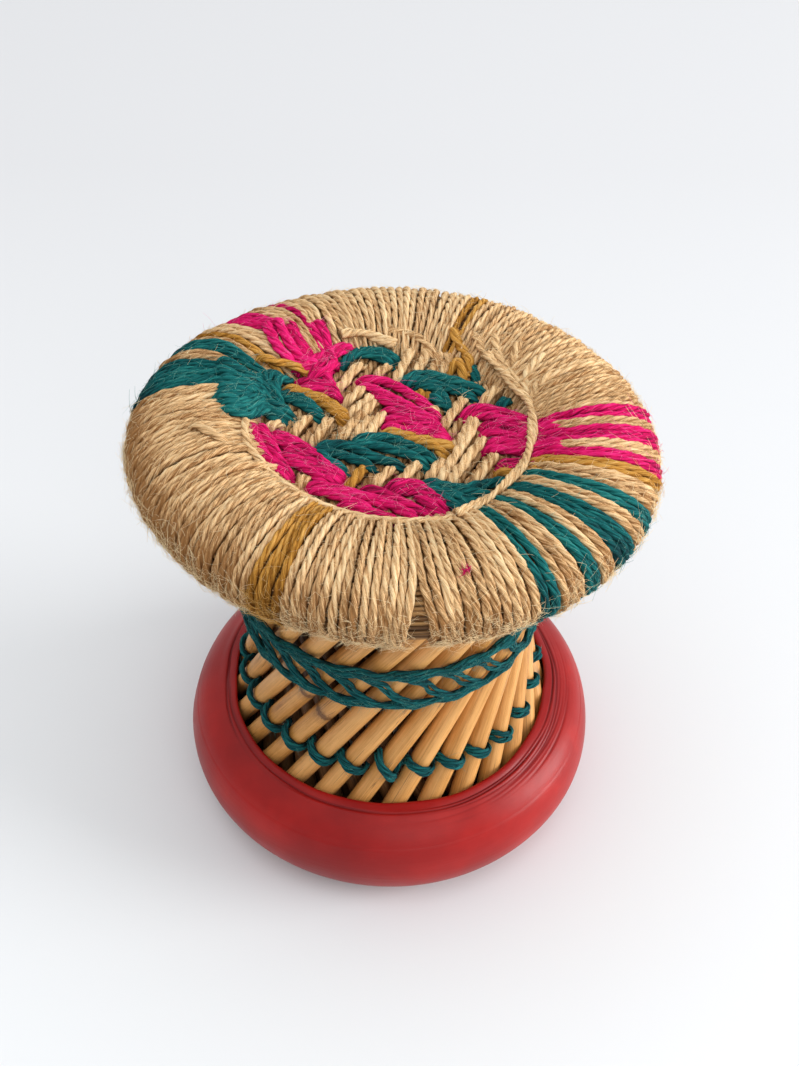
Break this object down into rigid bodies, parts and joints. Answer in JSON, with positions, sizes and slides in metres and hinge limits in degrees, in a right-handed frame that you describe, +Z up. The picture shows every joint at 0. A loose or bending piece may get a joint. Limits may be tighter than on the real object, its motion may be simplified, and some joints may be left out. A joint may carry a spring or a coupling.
{
  "type": "mudda stool",
  "caption": "Round cane stool with an hourglass cage of slanted canes, a rope-wound rim, a woven rope seat and a rubber-covered base ring.",
  "frame": {"origin": "on the floor, on the stool's axis", "axes": "+Z up along the stool's axis, -Y to the front, +X to the right as seen from the front"},
  "size_m": [0.2981, 0.2981, 0.2966],
  "materials": {
    "cane_pale": "smooth natural cane skin",
    "cane_brown": "smooth darker cane skin",
    "reed": "raw split reed",
    "jute_natural": "hairy twisted rope",
    "jute_teal": "dyed twisted rope",
    "jute_magenta": "dyed twisted rope",
    "jute_mustard": "dyed twisted rope",
    "cord_teal": "dyed twisted cord",
    "rubber_red": "satin moulded rubber with fine creases at the lip"
  },
  "bodies": {
    "root": {"outer_cane_01": "cane_pale", "outer_cane_02": "cane_pale", "outer_cane_03": "cane_pale", "outer_cane_04": "cane_pale", "outer_cane_05": "cane_pale", "outer_cane_06": "cane_pale", "outer_cane_07": "cane_pale", "outer_cane_08": "cane_pale", "outer_cane_09": "cane_pale", "outer_cane_10": "cane_pale", "outer_cane_11": "cane_pale", "outer_cane_12": "cane_pale", "outer_cane_13": "cane_pale", "outer_cane_14": "cane_pale", "outer_cane_15": "cane_pale", "outer_cane_16": "cane_pale", "outer_cane_17": "cane_pale", "outer_cane_18": "cane_pale", "outer_cane_19": "cane_pale", "outer_cane_20": "cane_pale", "outer_cane_21": "cane_pale", "outer_cane_22": "cane_pale", "outer_cane_23": "cane_pale", "outer_cane_24": "cane_pale", "outer_cane_25": "cane_pale", "outer_cane_26": "cane_pale", "outer_cane_27": "cane_pale", "outer_cane_28": "cane_pale", "inner_cane_group_1": "cane_brown", "inner_cane_group_2": "cane_brown", "inner_cane_group_3": "cane_brown", "inner_cane_group_4": "cane_brown", "inner_cane_group_5": "cane_brown", "inner_cane_group_6": "cane_brown", "inner_cane_group_7": "cane_brown", "rim_outer_bundle": "reed", "rim_inner_bundle": "reed", "rim_top_bundle": "reed", "rim_winding_mustard_front": "jute_mustard", "rim_winding_natural_front": "jute_natural", "rim_winding_teal_right": "jute_teal", "rim_winding_magenta_right": "jute_magenta", "rim_winding_natural_right": "jute_natural", "rim_winding_mustard_back": "jute_mustard", "rim_winding_natural_back": "jute_natural", "rim_winding_magenta_left": "jute_magenta", "rim_winding_teal_left": "jute_teal", "rim_winding_natural_left": "jute_natural", "seat_web": "jute_natural", "waist_lower_band": "cord_teal", "waist_upper_band": "cord_teal", "waist_lacing": "cord_teal", "lower_tie_cord": "cord_teal", "rubber_cover": "rubber_red", "base_outer_bundle": "reed", "base_inner_bundle": "reed", "base_lower_bundle": "reed"}
  },
  "joints": []
}
